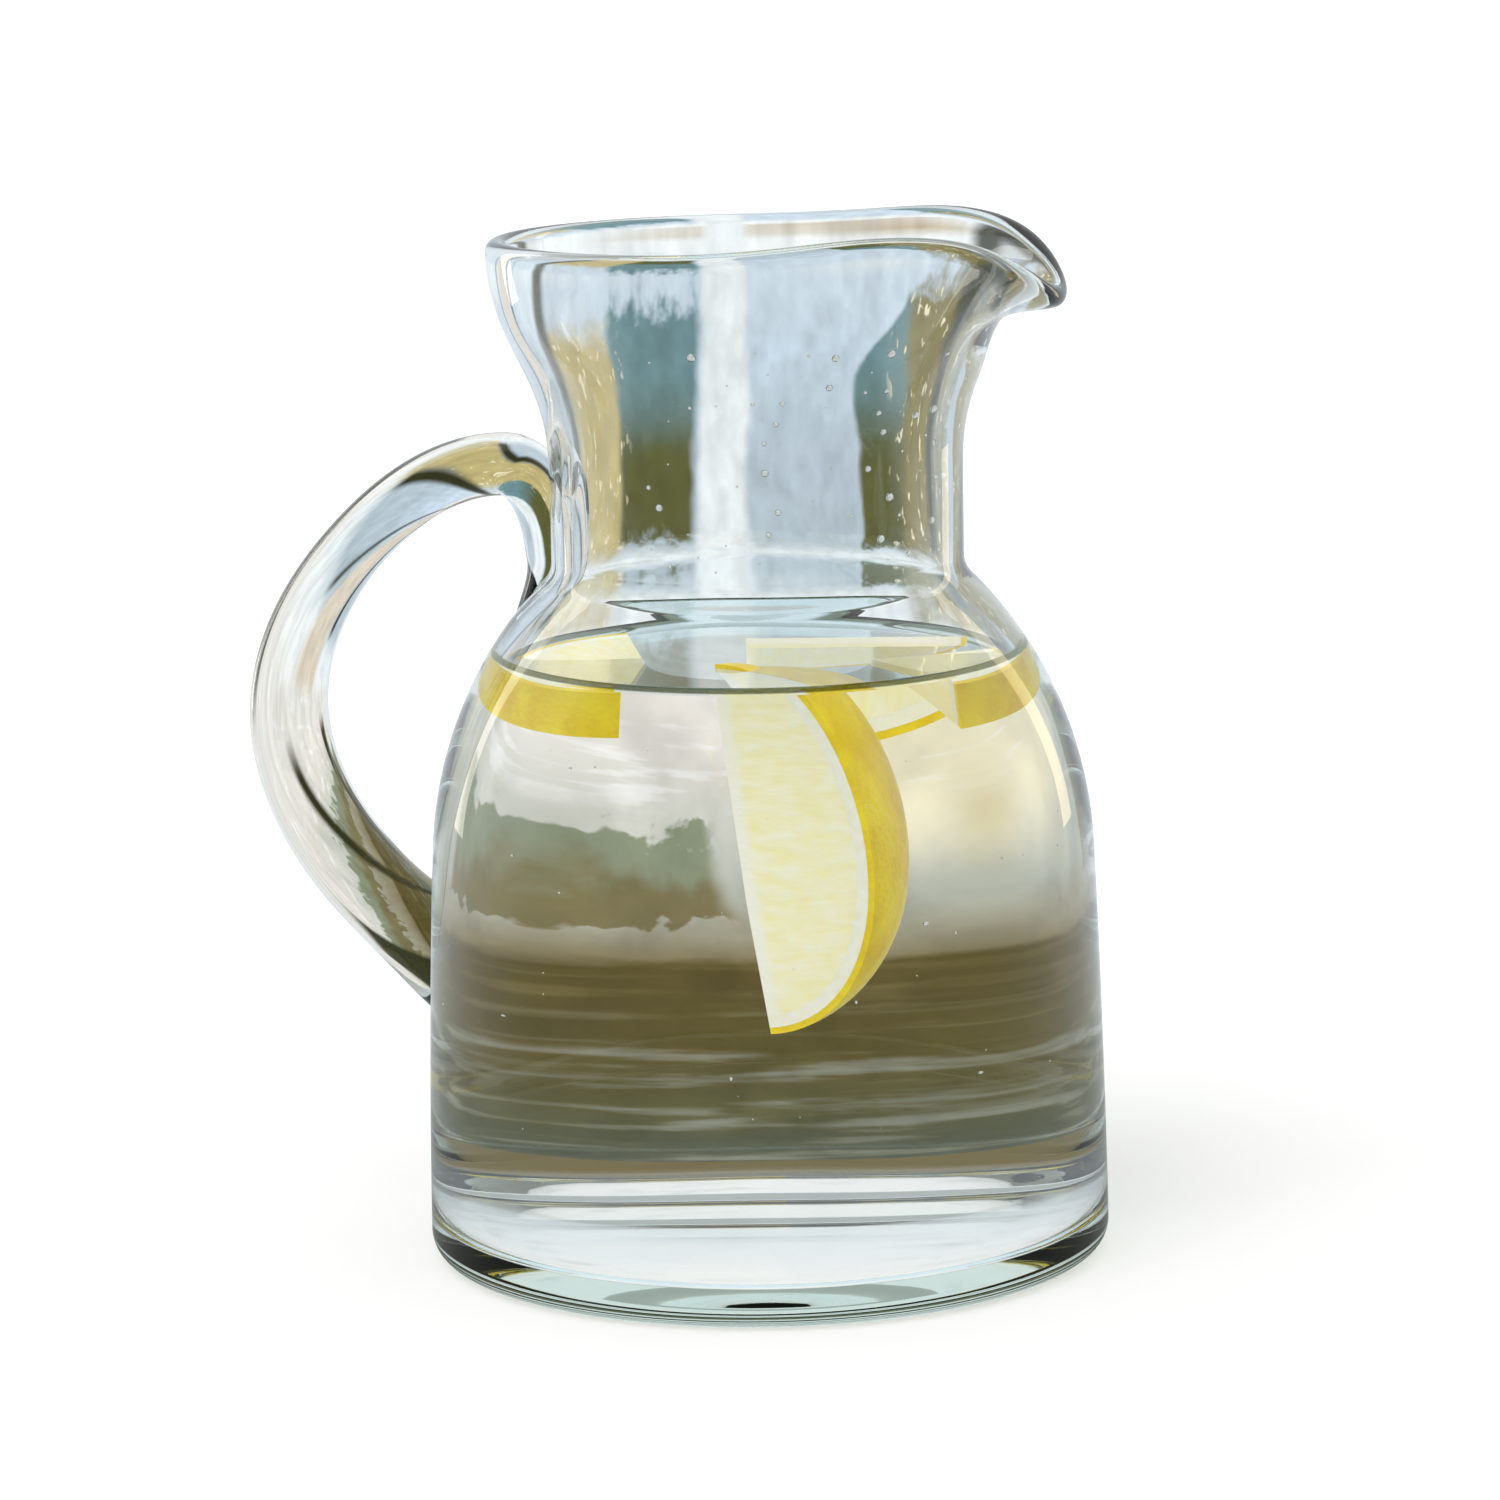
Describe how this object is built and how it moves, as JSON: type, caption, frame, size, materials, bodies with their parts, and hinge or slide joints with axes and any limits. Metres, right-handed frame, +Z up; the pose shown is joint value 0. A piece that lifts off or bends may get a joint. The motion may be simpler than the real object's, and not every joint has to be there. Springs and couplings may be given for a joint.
{
  "type": "water_carafe",
  "caption": "Round clear glass water carafe with a drawn pouring lip and a looped glass handle, filled with water in which pieces of lemon float",
  "frame": {"origin": "middle of the foot, on the surface that the carafe stands on", "axes": "+Z up, +X toward the pouring lip, -X toward the handle, +Y to the left seen from the handle"},
  "size_m": [0.1746, 0.1366, 0.2059],
  "materials": {
    "glass": "polished",
    "water": "clear",
    "lemon_zest": "waxy peel",
    "lemon_pith": "soft",
    "lemon_flesh": "wet"
  },
  "bodies": {
    "root": {"carafe_body": "glass", "handle": "glass", "water": "water", "lemon_front_zest": "lemon_zest", "lemon_front_pith": "lemon_pith", "lemon_front_flesh": "lemon_flesh", "lemon_back_zest": "lemon_zest", "lemon_back_pith": "lemon_pith", "lemon_back_flesh": "lemon_flesh", "lemon_left_zest": "lemon_zest", "lemon_left_pith": "lemon_pith", "lemon_left_flesh": "lemon_flesh", "lemon_right_zest": "lemon_zest", "lemon_right_pith": "lemon_pith", "lemon_right_flesh": "lemon_flesh"}
  },
  "joints": []
}
